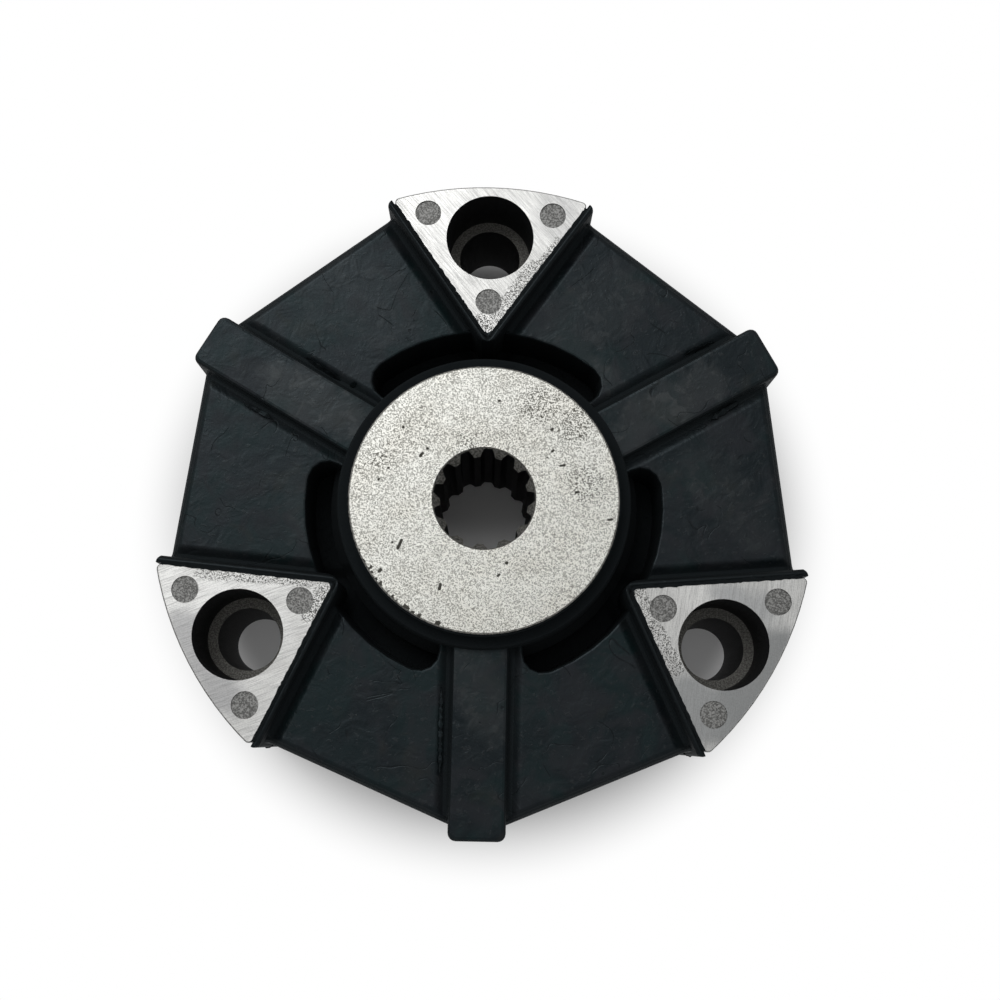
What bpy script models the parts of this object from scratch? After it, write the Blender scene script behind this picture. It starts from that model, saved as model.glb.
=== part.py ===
"""Flexible pump coupling, lying on its rear face.

A splined metal hub and three bolted metal inserts are bonded into one moulded rubber body.
The hub reaches into the rubber with one arm under each rib, so the rubber between the arms
and the inserts carries the torque from the pump shaft to the flywheel bolts.

Metres, +Z up. The origin is on the hub's axis, in the plane of the rear faces.
One insert points along +Y, and one rib along -Y.
"""
import math

import bmesh
import bpy
from mathutils import Matrix, Vector

mm = 0.001

# Driving dimensions of the whole coupling
sectors = 3                         # inserts, and as many ribs between them
first_insert_angle = math.radians(90)
bolt_circle_radius = 62.5 * mm
outer_rim = 12.5 * mm               # bolt circle to the inserts' outer arcs
insert_height = 39.0 * mm           # rear face to the inserts' front faces
seat_gap = 0.3 * mm                 # clearance between the rubber and each bonded metal piece

# Hub
hub_radius = 30.4 * mm
hub_proud = 4.0 * mm                # hub face above the insert faces
hub_edge_break = 0.4 * mm
arm_cover = 3.0 * mm                # rubber over each arm, on every side

# Spline in the hub's bore
spline_teeth = 13
spline_module = 1.5875 * mm         # pitch diameter for each tooth: 16 teeth to the inch
spline_flank_angle = math.radians(30)
spline_tip_height = 0.32 * mm       # tooth tips inside the pitch circle
spline_root_depth = 1.1 * mm        # tooth spaces outside the pitch circle
spline_flank_wear = 0.3 * mm        # each worn flank behind its standard place
spline_root_fillet = 0.3 * mm
spline_space_angle = math.radians(86.3)
lead_in_margin = 0.28 * mm          # mouth of the lead-in cone, outside the tooth spaces
lead_in_angle = math.radians(30)    # between the lead-in cone and the axis

# Bolt inserts
insert_apex_reach = 24.05 * mm      # bolt circle inwards to where an insert's two sides would meet
insert_half_angle = math.radians(35)
insert_apex_round = 1.1 * mm
insert_corner_round = 1.0 * mm
insert_arc_break = 0.4 * mm         # ground edge of the outer arc, in front and behind
counterbore_radius = 10.2 * mm
counterbore_depth = 16.0 * mm
bolt_hole_radius = 7.3 * mm         # under the counterbore; both taper towards the rear
core_draft = math.radians(1.8)
pin_mark_radius = 3.05 * mm
pin_mark_depth = 0.3 * mm
pin_mark_out = 5.7 * mm             # centres of the outer pair, outside the bolt circle
pin_mark_wall = 2.05 * mm           # metal between an outer mark and the insert's side
pin_mark_apex_wall = 1.8 * mm       # the same for the inner mark

# Rubber body
collar_wall = 2.9 * mm              # rubber round the hub, level with the insert faces
collar_edge_round = 0.5 * mm
collar_draft = math.radians(3)
collar_step_drop = 8.0 * mm         # shoulder on the collar's wall, inside the moats
collar_step_radius = 35.6 * mm
web_drop = 4.5 * mm                 # webs below the insert faces, on both sides
web_horn_setback = 2.5 * mm         # a web's straight outer edge behind the end of the horn
web_rib_setback = 3.0 * mm          # and behind the end of the rib
web_edge_round = 1.3 * mm
wall_draft = math.radians(1.7)      # outer walls of the webs, from the parting plane
rib_drop = 2.0 * mm
rib_half_width = 6.4 * mm
rib_edge_round = 1.0 * mm
rib_end_round = 1.8 * mm            # the two upright corners of a rib's end
rib_overhang = 0.3 * mm             # rib ends past the inserts' arcs
rib_foot_fillet = 1.6 * mm
lip_wall = 1.9 * mm                 # rubber along an insert's sides
lip_edge_round = 0.4 * mm
lip_foot_fillet = 1.5 * mm
horn_wall = 1.0 * mm                # rubber beside an insert's outer corner
horn_round = 1.5 * mm
horn_fillet = 2.4 * mm              # upright, between a web's edge and a horn
rib_end_fillet = 0.8 * mm           # upright, between a web's edge and a rib
moat_overlap = 2.4 * mm             # an insert's apex to the moat's outer wall
moat_corner_round = 4.5 * mm
moat_rib_margin = 1.4 * mm          # from a rib's foot to the end of a moat
moat_rim_round = 0.6 * mm
moat_draft = math.radians(3)
membrane = 3.0 * mm                 # rubber left between a front moat and the rear one

# Facets
round_steps = 96                    # full turned surfaces
hole_steps = 48
mark_steps = 24
arc_steps = 12                      # outer arc of an insert
moat_steps = 10                     # arc of a moat
moat_arc_start = 1.25               # first point of that arc, in tangent lengths of its corners
corner_steps = 4
edge_steps = 3                      # rounded edges and fillets
flank_steps = 4

# Derived
rib_angles = [first_insert_angle + (index + 0.5) * 2 * math.pi / sectors for index in range(sectors)]
insert_angles = [first_insert_angle + index * 2 * math.pi / sectors for index in range(sectors)]
hub_height = insert_height + hub_proud
outer_radius = bolt_circle_radius + outer_rim
rib_end_radius = outer_radius + rib_overhang
insert_apex_radius = bolt_circle_radius - insert_apex_reach
moat_radius = insert_apex_radius + moat_overlap
spline_pitch_radius = spline_teeth * spline_module / 2
spline_tip_radius = spline_pitch_radius - spline_tip_height
spline_root_radius = spline_pitch_radius + spline_root_depth
bore_mouth_radius = spline_root_radius + lead_in_margin
collar_radius = hub_radius + collar_wall
web_low = web_drop
web_high = insert_height - web_drop
rib_low = rib_drop
rib_high = insert_height - rib_drop
middle = insert_height / 2
bite = 0.2 * mm                     # how far a fillet's solid is sunk into its neighbours
beyond = 5.0 * mm                   # how far a cutter runs past the surface that it cuts


def clear_scene():
    for item in list(bpy.data.objects):
        bpy.data.objects.remove(item, do_unlink=True)


# Plane outlines. A line is (direction of its normal, distance from the origin).

def meet(first, second):
    """Corner where two lines cross."""
    (angle_a, reach_a), (angle_b, reach_b) = first, second
    turn = math.sin(angle_b - angle_a)
    x = (reach_a * math.sin(angle_b) - reach_b * math.sin(angle_a)) / turn
    y = (reach_b * math.cos(angle_a) - reach_a * math.cos(angle_b)) / turn
    return Vector((x, y))


def round_corners(corners, steps=corner_steps):
    """Closed outline from corners given as (point, radius); a radius of 0 keeps a corner sharp."""
    points = []
    for index, (here, radius) in enumerate(corners):
        if radius <= 0:
            points.append(here.copy())
            continue
        before = (corners[index - 1][0] - here).normalized()
        after = (corners[(index + 1) % len(corners)][0] - here).normalized()
        half = before.angle(after) / 2
        centre = here + (before + after).normalized() * radius / math.sin(half)
        start = here + before * radius / math.tan(half) - centre
        left_turn = before.y * after.x - before.x * after.y > 0
        sweep = (math.pi - 2 * half) * (1 if left_turn else -1)
        for step in range(steps + 1):
            points.append(centre + Matrix.Rotation(sweep * step / steps, 2) @ start)
    return points


def at_height(points, height):
    return [Vector((point.x, point.y, height)) for point in points]


# Solids

def new_object(name, mesh):
    data = bpy.data.meshes.new(name)
    bmesh.ops.recalc_face_normals(mesh, faces=mesh.faces)
    mesh.to_mesh(data)
    mesh.free()
    item = bpy.data.objects.new(name, data)
    bpy.context.scene.collection.objects.link(item)
    return item


def loft(name, rings):
    """Closed solid: the first ring is filled, and extruded from ring to ring."""
    mesh = bmesh.new()
    first = mesh.faces.new([mesh.verts.new(point) for point in rings[0]])
    cap = first
    for ring in rings[1:]:
        extruded = bmesh.ops.extrude_face_region(mesh, geom=[cap])["geom"]
        if cap is not first:
            bmesh.ops.delete(mesh, geom=[cap], context="FACES_ONLY")
        cap = next(part for part in extruded if isinstance(part, bmesh.types.BMFace))
        for vert, point in zip(cap.verts, ring):
            vert.co = point
    return new_object(name, mesh)


def prism(name, outline, low, high):
    return loft(name, [at_height(outline, low), at_height(outline, high)])


def turn(name, profile, steps, centre=(0.0, 0.0)):
    """Closed solid of revolution from a profile of (radius, height), on the axis or closed in itself."""
    mesh = bmesh.new()
    verts = [mesh.verts.new((radius, 0, height)) for radius, height in profile]
    edges = [mesh.edges.new(pair) for pair in zip(verts, verts[1:])]
    bmesh.ops.spin(mesh, geom=verts + edges, cent=(0, 0, 0), axis=(0, 0, 1), angle=2 * math.pi,
                   steps=steps, use_merge=True)
    bmesh.ops.remove_doubles(mesh, verts=mesh.verts, dist=1e-7)
    bmesh.ops.translate(mesh, verts=mesh.verts, vec=(centre[0], centre[1], 0))
    return new_object(name, mesh)


def bar(name, start, end, half_width, low, high, upright_round, edge_round):
    """Bar along +X with rounded upright corners at its far end and rounded long edges."""
    mesh = bmesh.new()
    bmesh.ops.create_cube(mesh, size=1)
    size = Matrix.Diagonal((end - start, 2 * half_width, high - low, 1))
    place = Matrix.Translation(((start + end) / 2, 0, (low + high) / 2))
    bmesh.ops.transform(mesh, matrix=place @ size, verts=mesh.verts)
    uprights = [edge for edge in mesh.edges
                if all(vert.co.x > (start + end) / 2 for vert in edge.verts)
                and abs(edge.verts[0].co.z - edge.verts[1].co.z) > (high - low) / 2]
    bmesh.ops.bevel(mesh, geom=uprights, offset=upright_round, offset_type="OFFSET",
                    segments=corner_steps, profile=0.5, affect="EDGES", material=-1)
    rims = [edge for edge in mesh.edges
            if abs(edge.verts[0].co.z - edge.verts[1].co.z) < (high - low) / 1000
            and any(vert.co.x > start + (end - start) / 1000 for vert in edge.verts)]
    bmesh.ops.bevel(mesh, geom=rims, offset=edge_round, offset_type="OFFSET",
                    segments=edge_steps, profile=0.5, affect="EDGES", material=-1)
    return new_object(name, mesh)


def copy_turned(item, name, angle):
    twin = bpy.data.objects.new(name, item.data.copy())
    twin.data.transform(Matrix.Rotation(angle, 4, "Z"))
    bpy.context.scene.collection.objects.link(twin)
    return twin


def combine(target, tool, operation):
    """Boolean of two objects, kept in the first; the second is used up."""
    modifier = target.modifiers.new("boolean", "BOOLEAN")
    modifier.solver = "EXACT"
    modifier.operation = operation
    modifier.object = tool
    bpy.context.view_layer.update()
    depsgraph = bpy.context.evaluated_depsgraph_get()
    result = bpy.data.meshes.new_from_object(target.evaluated_get(depsgraph))
    target.modifiers.clear()
    target.data = result
    bpy.data.objects.remove(tool, do_unlink=True)
    return target


def add(target, *tools):
    for tool in tools:
        combine(target, tool, "UNION")
    return target


def cut(target, *tools):
    for tool in tools:
        combine(target, tool, "DIFFERENCE")
    return target


def finish(item, name, colour, roughness, metallic):
    """Name, smooth shading with sharp edges kept, and the piece's own material."""
    item.name = name
    item.data.name = name
    item.data.shade_smooth()
    item.data.set_sharp_from_angle(angle=math.radians(35))
    material = bpy.data.materials.new(name)
    material.use_nodes = True
    shader = material.node_tree.nodes["Principled BSDF"]
    shader.inputs["Base Color"].default_value = (*colour, 1)
    shader.inputs["Roughness"].default_value = roughness
    shader.inputs["Metallic"].default_value = metallic
    item.data.materials.clear()
    item.data.materials.append(material)
    return item


# Rounded edges and fillets as (step sideways, step in height) pairs

def quarter_round(radius, steps=edge_steps):
    """From a flat face down to an upright wall: sideways inset and depth under the face."""
    turns = [math.pi / 2 * step / steps for step in range(steps + 1)]
    return [(radius * (1 - math.sin(angle)), radius * (1 - math.cos(angle))) for angle in turns]


# Splined hub

def involute(angle):
    return math.tan(angle) - angle


def space_half_angle(radius):
    """Half of a tooth space's width, as an angle at the axis."""
    base_radius = spline_pitch_radius * math.cos(spline_flank_angle)
    at_pitch_circle = math.pi / (2 * spline_teeth) + spline_flank_wear / spline_pitch_radius
    return at_pitch_circle + involute(spline_flank_angle) - involute(math.acos(base_radius / radius))


def spline_outline():
    corners = []
    for tooth in range(spline_teeth):
        centre = spline_space_angle + tooth * 2 * math.pi / spline_teeth
        radii = [spline_tip_radius + (spline_root_radius - spline_tip_radius) * step / flank_steps
                 for step in range(flank_steps + 1)]
        flank = [(radius, centre - space_half_angle(radius)) for radius in radii]
        flank += [(radius, centre + space_half_angle(radius)) for radius in reversed(radii)]
        for radius, angle in flank:
            point = Vector((radius * math.cos(angle), radius * math.sin(angle)))
            corners.append((point, spline_root_fillet if radius == spline_root_radius else 0))
    return round_corners(corners, steps=2)


def lead_in(name, face, inwards):
    """Cone that opens the bore at a face; inwards is +1 or -1 along Z."""
    depth = (bore_mouth_radius - spline_tip_radius) / math.tan(lead_in_angle)
    out = beyond * math.tan(lead_in_angle)
    profile = [(0, face - inwards * beyond), (bore_mouth_radius + out, face - inwards * beyond),
               (spline_tip_radius, face + inwards * depth), (0, face + inwards * depth)]
    return turn(name, profile, round_steps)


def hub_arm(name, gap=0.0):
    """Arm along +X, covered on every side by the rib's rubber."""
    return bar(name, hub_radius / 2, rib_end_radius - arm_cover + gap, rib_half_width - arm_cover + gap,
               rib_low + arm_cover - gap, rib_high - arm_cover + gap, arm_cover / 2, arm_cover / 4)


def make_hub():
    rim = hub_radius - hub_edge_break
    hub = turn("hub", [(0, 0), (rim, 0), (hub_radius, hub_edge_break),
                       (hub_radius, hub_height - hub_edge_break), (rim, hub_height), (0, hub_height)],
               round_steps)
    for angle in rib_angles:
        arm = hub_arm("arm")
        arm.data.transform(Matrix.Rotation(angle, 4, "Z"))
        add(hub, arm)
    cut(hub, prism("spline", spline_outline(), -beyond, hub_height + beyond))
    cut(hub, lead_in("front_cone", hub_height, -1), lead_in("rear_cone", 0, 1))
    return finish(hub, "splined_hub", (0.60, 0.58, 0.54), 0.38, 1.0)


# Bolt inserts, drawn along +X and turned to their places

def side_line(offset):
    """One straight side of an insert, moved outwards by an offset."""
    return (math.pi / 2 + insert_half_angle,
            offset - insert_apex_radius * math.sin(insert_half_angle))


def insert_corner(offset=0.0, arc_radius=outer_radius):
    """Where an insert's side, moved outwards by an offset, meets its outer arc."""
    angle, reach = side_line(offset)
    foot = Vector((math.cos(angle), math.sin(angle))) * reach
    along = Vector((math.cos(insert_half_angle), math.sin(insert_half_angle)))
    return foot + along * math.sqrt(arc_radius ** 2 - reach ** 2)


def insert_outline(offset=0.0, arc_radius=outer_radius, corner_round=insert_corner_round):
    """Triangle with a rounded apex and an outer arc about the hub's axis."""
    angle, reach = side_line(offset)
    apex = meet((angle, reach), (-angle, reach))
    corner = insert_corner(offset, arc_radius)
    spread = math.atan2(corner.y, corner.x)
    corners = [(apex, insert_apex_round + offset)]
    for step in range(arc_steps + 1):
        turn_to = spread * (2 * step / arc_steps - 1)
        point = Vector((math.cos(turn_to), math.sin(turn_to))) * arc_radius
        corners.append((point, corner_round if step in (0, arc_steps) else 0))
    return round_corners(corners)


def bolt_hole(name):
    ledge = insert_height - counterbore_depth
    taper = math.tan(core_draft)
    profile = [(0, -beyond), (bolt_hole_radius - (ledge + beyond) * taper, -beyond),
               (bolt_hole_radius, ledge), (counterbore_radius - counterbore_depth * taper, ledge),
               (counterbore_radius + beyond * taper, insert_height + beyond),
               (0, insert_height + beyond)]
    return turn(name, profile, hole_steps, centre=(bolt_circle_radius, 0))


def pin_mark(name, centre):
    floor = insert_height - pin_mark_depth
    profile = [(0, floor), (pin_mark_radius, floor), (pin_mark_radius, insert_height + beyond),
               (0, insert_height + beyond)]
    return turn(name, profile, mark_steps, centre)


def pin_mark_centres():
    """Two marks beside the bolt hole and one in the apex, each with a wall left to the sides."""
    inner = insert_apex_radius + (pin_mark_radius + pin_mark_apex_wall) / math.sin(insert_half_angle)
    outer = bolt_circle_radius + pin_mark_out
    across = ((outer - insert_apex_radius) * math.tan(insert_half_angle)
              - (pin_mark_radius + pin_mark_wall) / math.cos(insert_half_angle))
    return [(inner, 0), (outer, across), (outer, -across)]


def make_insert():
    full = insert_outline()
    broken = insert_outline(arc_radius=outer_radius - insert_arc_break)
    insert = loft("insert", [at_height(broken, 0), at_height(full, insert_arc_break),
                             at_height(full, insert_height - insert_arc_break),
                             at_height(broken, insert_height)])
    cut(insert, bolt_hole("bolt_hole"))
    cut(insert, *[pin_mark("pin_mark", centre) for centre in pin_mark_centres()])
    return insert


def place_inserts():
    insert = make_insert()
    for angle, place in zip(insert_angles, ("top", "left", "right")):
        piece = copy_turned(insert, "bolt_insert_" + place, angle)
        finish(piece, "bolt_insert_" + place, (0.66, 0.66, 0.66), 0.35, 1.0)
    bpy.data.objects.remove(insert, do_unlink=True)


# Rubber body

def horn_half_width():
    return insert_corner().y + horn_wall


def wall_inset(height):
    """How far the drafted outer walls stand in from the parting plane's outline."""
    return abs(height - middle) * math.tan(wall_draft)


def web_edge():
    """Line of a web's outer edge, from the horn to the side of the rib."""
    across = horn_half_width()
    start = Vector((math.sqrt(outer_radius ** 2 - across ** 2) - web_horn_setback, across))
    end = Matrix.Rotation(math.pi / sectors, 2) @ Vector((rib_end_radius - web_rib_setback,
                                                          -rib_half_width))
    run = (end - start).normalized()
    return math.atan2(-run.x, run.y), start.x * run.y - start.y * run.x


def web_outline(inset=0.0):
    """Plan of the webs: six straight edges that curve up to the horns and to the rib ends."""
    half_sector = math.pi / sectors
    lean, distance = web_edge()
    edge = (lean, distance - inset)
    horn = (math.pi / 2, horn_half_width() - bite - inset)
    rib = (half_sector - math.pi / 2, rib_half_width - bite - inset)
    spread = math.asin(horn_half_width() / outer_radius)
    tangent = horn_round / math.tan(math.pi / 4 + spread / 2)
    horn_end = Vector((outer_radius * math.cos(spread) - tangent, horn[1]))
    rib_end = meet(rib, (half_sector, rib_end_radius - rib_end_round))
    half = [(horn_end, 0), (meet(horn, edge), horn_fillet + inset),
            (meet(edge, rib), rib_end_fillet + inset), (rib_end, 0)]
    other = [(Vector((point.x, -point.y)), radius) for point, radius in reversed(half)]
    corners = []
    for angle in insert_angles:
        spin = Matrix.Rotation(angle, 2)
        corners += [(spin @ point, radius) for point, radius in other + half]
    return round_corners(corners)


def web_block(name):
    """The webs' plan with rounded edges, which narrows above and below them as high as the feet."""
    edge = quarter_round(web_edge_round)
    feet = max(lip_foot_fillet, rib_foot_fillet)
    crown = web_edge_round + feet
    levels = [(crown, web_low - feet)] + [(inset, web_low + depth) for inset, depth in edge]
    levels.append((0, middle))
    levels += [(inset, web_high - depth) for inset, depth in reversed(edge)]
    levels.append((crown, web_high + feet))
    return loft(name, [at_height(web_outline(inset + wall_inset(level)), level)
                       for inset, level in levels])


def lip_outline(inset=0.0):
    """Plan of the rubber round one insert: its sides moved out, cut off straight at the horns."""
    side, reach = side_line(lip_wall - inset)
    horn = horn_half_width() - inset
    arc_radius = outer_radius - inset
    shoulder = meet((side, reach), (math.pi / 2, horn))
    spread = math.asin(horn / arc_radius)
    corners = [(meet((side, reach), (-side, reach)), insert_apex_round + lip_wall - inset),
               (Vector((shoulder.x, -horn)), 0)]
    for step in range(arc_steps + 1):
        turn_to = spread * (2 * step / arc_steps - 1)
        point = Vector((math.cos(turn_to), math.sin(turn_to))) * arc_radius
        corners.append((point, horn_round - inset if step in (0, arc_steps) else 0))
    corners.append((Vector((shoulder.x, horn)), 0))
    return round_corners(corners)


def lip_block(name):
    """Rubber round one insert at full height, with its outer rims rounded."""
    edge = quarter_round(lip_edge_round)
    rings = [at_height(lip_outline(inset), depth) for inset, depth in edge]
    rings += [at_height(lip_outline(inset), insert_height - depth) for inset, depth in reversed(edge)]
    return loft(name, rings)


def lip_foot(name):
    """Core under one insert's lips, which flares into the webs with a fillet in front and behind."""
    steps = quarter_round(min(lip_foot_fillet, web_drop - lip_edge_round))
    levels = [(sideways, web_low - height) for sideways, height in reversed(steps)]
    levels += [(sideways, web_high + height) for sideways, height in steps]
    rings = []
    for sideways, level in levels:
        outline = insert_outline(lip_wall - bite + sideways, outer_radius + beyond,
                                 insert_apex_round + lip_wall)
        rings.append(at_height(outline, level))
    return loft(name, rings)


def rib_foot(name):
    """Core under one rib along +X, which flares into the webs with a fillet in front and behind."""
    steps = quarter_round(min(rib_foot_fillet, web_drop - rib_drop - rib_edge_round))
    side = [(rib_half_width - bite + sideways, web_low - height) for sideways, height in reversed(steps)]
    side += [(rib_half_width - bite + sideways, web_high + height) for sideways, height in steps]
    section = side + [(-across, level) for across, level in reversed(side)]
    return loft(name, [[Vector((along, across, level)) for across, level in section]
                       for along in (hub_radius, rib_end_radius + beyond)])


def make_webs():
    """Six webs in one plate, with the fillets that lead up to the lips and the ribs."""
    webs = turn("webs", [(0, web_low), (outer_radius + beyond, web_low),
                         (outer_radius + beyond, web_high), (0, web_high)], round_steps)
    lip = lip_foot("lip_foot")
    rib = rib_foot("rib_foot")
    for insert_angle, rib_angle in zip(insert_angles, rib_angles):
        add(webs, copy_turned(lip, "lip_foot", insert_angle), copy_turned(rib, "rib_foot", rib_angle))
    bpy.data.objects.remove(lip, do_unlink=True)
    bpy.data.objects.remove(rib, do_unlink=True)
    return combine(webs, web_block("web_block"), "INTERSECT")


def moat_outline(grow=0.0):
    """Plan of one moat along +X, from well inside the hub to its outer wall, with rounded ends."""
    half_sector = math.pi / sectors
    margin = rib_half_width + rib_foot_fillet + moat_rib_margin - grow
    outer, inner = moat_radius + grow, hub_radius / 2
    corner_round = moat_corner_round + grow
    lean = math.asin(margin / outer)
    tangent = corner_round / math.tan(math.pi / 4 - lean / 2)
    spread = half_sector - lean
    arc_spread = spread - moat_arc_start * tangent / outer
    inner_spread = half_sector - math.asin(margin / inner)
    arc = [arc_spread * (2 * step / moat_steps - 1) for step in range(moat_steps + 1)]
    places = [(inner, -inner_spread, 0), (outer, -spread, corner_round)]
    places += [(outer, angle, 0) for angle in arc]
    places += [(outer, spread, corner_round), (inner, inner_spread, 0)]
    return round_corners([(Vector((math.cos(angle), math.sin(angle))) * radius, rounding)
                          for radius, angle, rounding in places])


def moat(name, floor, rim, outside):
    """One blind moat from its floor, out past the web's surface at the rim."""
    outwards = 1 if rim > floor else -1
    wall = abs(rim - floor) - moat_rim_round
    rings = [at_height(moat_outline(-wall * math.tan(moat_draft)), floor)]
    for sideways, depth in reversed(quarter_round(moat_rim_round)):
        rings.append(at_height(moat_outline(sideways), rim - outwards * depth))
    rings.append(at_height(moat_outline(moat_rim_round), outside))
    return loft(name, rings)


def cut_moats(webs):
    front = moat("front_moat", middle + membrane / 2, web_high, insert_height + beyond)
    rear = moat("rear_moat", middle - membrane / 2, web_low, -beyond)
    for angle in insert_angles:
        cut(webs, copy_turned(front, "front_moat", angle), copy_turned(rear, "rear_moat", angle))
    bpy.data.objects.remove(front, do_unlink=True)
    bpy.data.objects.remove(rear, do_unlink=True)


def collar(name):
    """Ring of rubber round the hub, with the shoulder that stands in the moats."""
    step_top = insert_height - collar_step_drop
    neck = collar_radius + collar_step_drop * math.tan(collar_draft)
    side = [(collar_step_radius, step_top - (collar_step_radius - neck)), (neck, step_top)]
    side += [(collar_radius - inset, insert_height - depth)
             for inset, depth in reversed(quarter_round(collar_edge_round))]
    mirror = [(radius, insert_height - height) for radius, height in reversed(side)]
    inside = [(hub_radius + seat_gap, insert_height), (hub_radius + seat_gap, 0)]
    return turn(name, inside + mirror + side + inside[:1], round_steps)


def make_rubber():
    rubber = make_webs()
    cut_moats(rubber)
    rib = bar("rib", hub_radius / 2, rib_end_radius, rib_half_width, rib_low, rib_high,
              rib_end_round, rib_edge_round)
    arm = hub_arm("arm_seat", seat_gap)
    lip = lip_block("lip")
    seat = prism("insert_seat", insert_outline(seat_gap, outer_radius + beyond), -beyond,
                 insert_height + beyond)
    for insert_angle, rib_angle in zip(insert_angles, rib_angles):
        add(rubber, copy_turned(rib, "rib", rib_angle), copy_turned(lip, "lip", insert_angle))
    inside_collar = hub_radius + collar_wall / 2
    cut(rubber, turn("middle", [(0, -beyond), (inside_collar, -beyond),
                                (inside_collar, insert_height + beyond),
                                (0, insert_height + beyond)], round_steps))
    add(rubber, collar("collar"))
    for insert_angle, rib_angle in zip(insert_angles, rib_angles):
        cut(rubber, copy_turned(seat, "insert_seat", insert_angle), copy_turned(arm, "arm_seat", rib_angle))
    for guide in (rib, arm, lip, seat):
        bpy.data.objects.remove(guide, do_unlink=True)
    return finish(rubber, "rubber_body", (0.012, 0.014, 0.015), 0.42, 0.0)


def build():
    clear_scene()
    make_hub()
    place_inserts()
    make_rubber()


build()
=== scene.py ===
# %% [markdown]
# # Dressing a flexible pump coupling
# The construction is already there: a splined hub, a moulded rubber body and three bolt inserts,
# packed as one fixed frame. This lesson gives them their looks. Nothing in the frame is moved.
# Each cell adds one thing, and says what it is on the real coupling and why it is made this way.

# %% Load the frame
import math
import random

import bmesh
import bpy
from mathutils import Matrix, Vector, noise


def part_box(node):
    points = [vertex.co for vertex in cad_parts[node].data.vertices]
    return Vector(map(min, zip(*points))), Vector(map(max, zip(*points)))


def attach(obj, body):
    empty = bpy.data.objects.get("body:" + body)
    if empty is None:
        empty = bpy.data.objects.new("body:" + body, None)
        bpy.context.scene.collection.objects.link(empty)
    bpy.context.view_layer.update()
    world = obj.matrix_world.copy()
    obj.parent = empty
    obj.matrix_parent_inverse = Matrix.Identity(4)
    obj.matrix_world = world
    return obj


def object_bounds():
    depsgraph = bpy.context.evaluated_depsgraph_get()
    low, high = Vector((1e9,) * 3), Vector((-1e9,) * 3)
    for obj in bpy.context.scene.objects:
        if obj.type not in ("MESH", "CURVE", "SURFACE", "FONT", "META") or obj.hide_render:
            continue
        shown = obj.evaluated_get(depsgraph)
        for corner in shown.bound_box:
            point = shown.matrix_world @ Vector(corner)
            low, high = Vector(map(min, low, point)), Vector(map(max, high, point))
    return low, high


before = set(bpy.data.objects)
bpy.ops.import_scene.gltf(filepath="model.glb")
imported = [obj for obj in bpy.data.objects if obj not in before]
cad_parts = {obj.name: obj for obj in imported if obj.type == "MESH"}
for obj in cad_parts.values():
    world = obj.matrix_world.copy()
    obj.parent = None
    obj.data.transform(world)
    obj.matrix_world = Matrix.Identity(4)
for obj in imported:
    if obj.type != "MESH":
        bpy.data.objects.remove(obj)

# %% [markdown]
# ## Modules and the frame's own measures
# The script works in metres, in the frame's own axes: +Z is up, out of the coupling's front face,
# and one insert points along +Y. Every place below is worked out from the boxes of the frame's
# nodes, so the looks follow the construction. The box is kept here, before anything is added,
# because the dressed part must not outgrow it.

mm = 0.001
cad_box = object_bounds()

hub_low, hub_high = (Vector(corner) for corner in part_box("splined_hub"))
_, top_high = (Vector(corner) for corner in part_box("bolt_insert_top"))
insert_face = top_high.z            # height of the inserts' front faces
hub_face = hub_high.z
outer_radius = top_high.y
print("insert faces", round(insert_face / mm, 2), "hub face", round(hub_face / mm, 2),
      "outer radius", round(outer_radius / mm, 2))

# %% [markdown]
# ## The camera
# The photograph was taken from above and a little below the coupling's centre. The camera's place
# and turn come from fitting one pinhole camera to the round edges and bolt holes: it stands about
# 31 cm over the insert faces and looks 10 degrees up the sheet. A 36 mm sensor with a 50.3 mm lens
# gives the same field of view over a square picture.

# %% Camera
camera_over_inserts = Vector((1.53, -52.59, 311.55)) * mm
camera_pitch = math.radians(9.646)
camera_yaw = math.radians(-2.241)
camera_roll = math.radians(3.462)

camera = bpy.data.objects.new("camera", bpy.data.cameras.new("camera"))
bpy.context.scene.collection.objects.link(camera)
camera.data.sensor_width = 36
camera.data.lens = 50.277
camera.matrix_world = (Matrix.Translation(camera_over_inserts + Vector((0, 0, insert_face)))
                       @ Matrix.Rotation(camera_yaw, 4, "Z")
                       @ Matrix.Rotation(camera_pitch, 4, "X")
                       @ Matrix.Rotation(camera_roll, 4, "Z"))
bpy.context.scene.camera = camera
print("camera at", [round(value, 4) for value in camera.matrix_world.translation])

# %% [markdown]
# ## Small helpers for shader nodes
# A procedural finish is a chain of nodes. These helpers keep the chains short to read: one adds a
# node, one feeds a socket with a link or a constant, and the rest are the sums, ranges, masks and
# blends that every finish below is made of. A mask is a number from 0 to 1 that changes over the
# surface, and says how much of something shows there.

# %% Node helpers
def new_material(name):
    material = bpy.data.materials.new(name)
    material.use_nodes = True
    return material


def node(tree, kind, **settings):
    made = tree.nodes.new("ShaderNode" + kind)
    for name, value in settings.items():
        setattr(made, name, value)
    return made


def feed(tree, socket, source):
    if isinstance(source, bpy.types.NodeSocket):
        tree.links.new(source, socket)
    elif socket.type == "RGBA":
        socket.default_value = (*source, 1)
    else:
        socket.default_value = source


def calc(tree, operation, first, second=0.0):
    made = node(tree, "Math", operation=operation)
    feed(tree, made.inputs[0], first)
    feed(tree, made.inputs[1], second)
    return made.outputs[0]


def span(tree, value, low, high, to_low=0.0, to_high=1.0):
    """Smooth step of a value between two limits."""
    made = node(tree, "MapRange", interpolation_type="SMOOTHSTEP")
    for name, source in (("Value", value), ("From Min", low), ("From Max", high),
                         ("To Min", to_low), ("To Max", to_high)):
        feed(tree, made.inputs[name], source)
    return made.outputs["Result"]


print("helpers for sums and ranges are ready")

# %% Masks and blends
def over(tree, value, limit):
    return calc(tree, "GREATER_THAN", value, limit)


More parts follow.
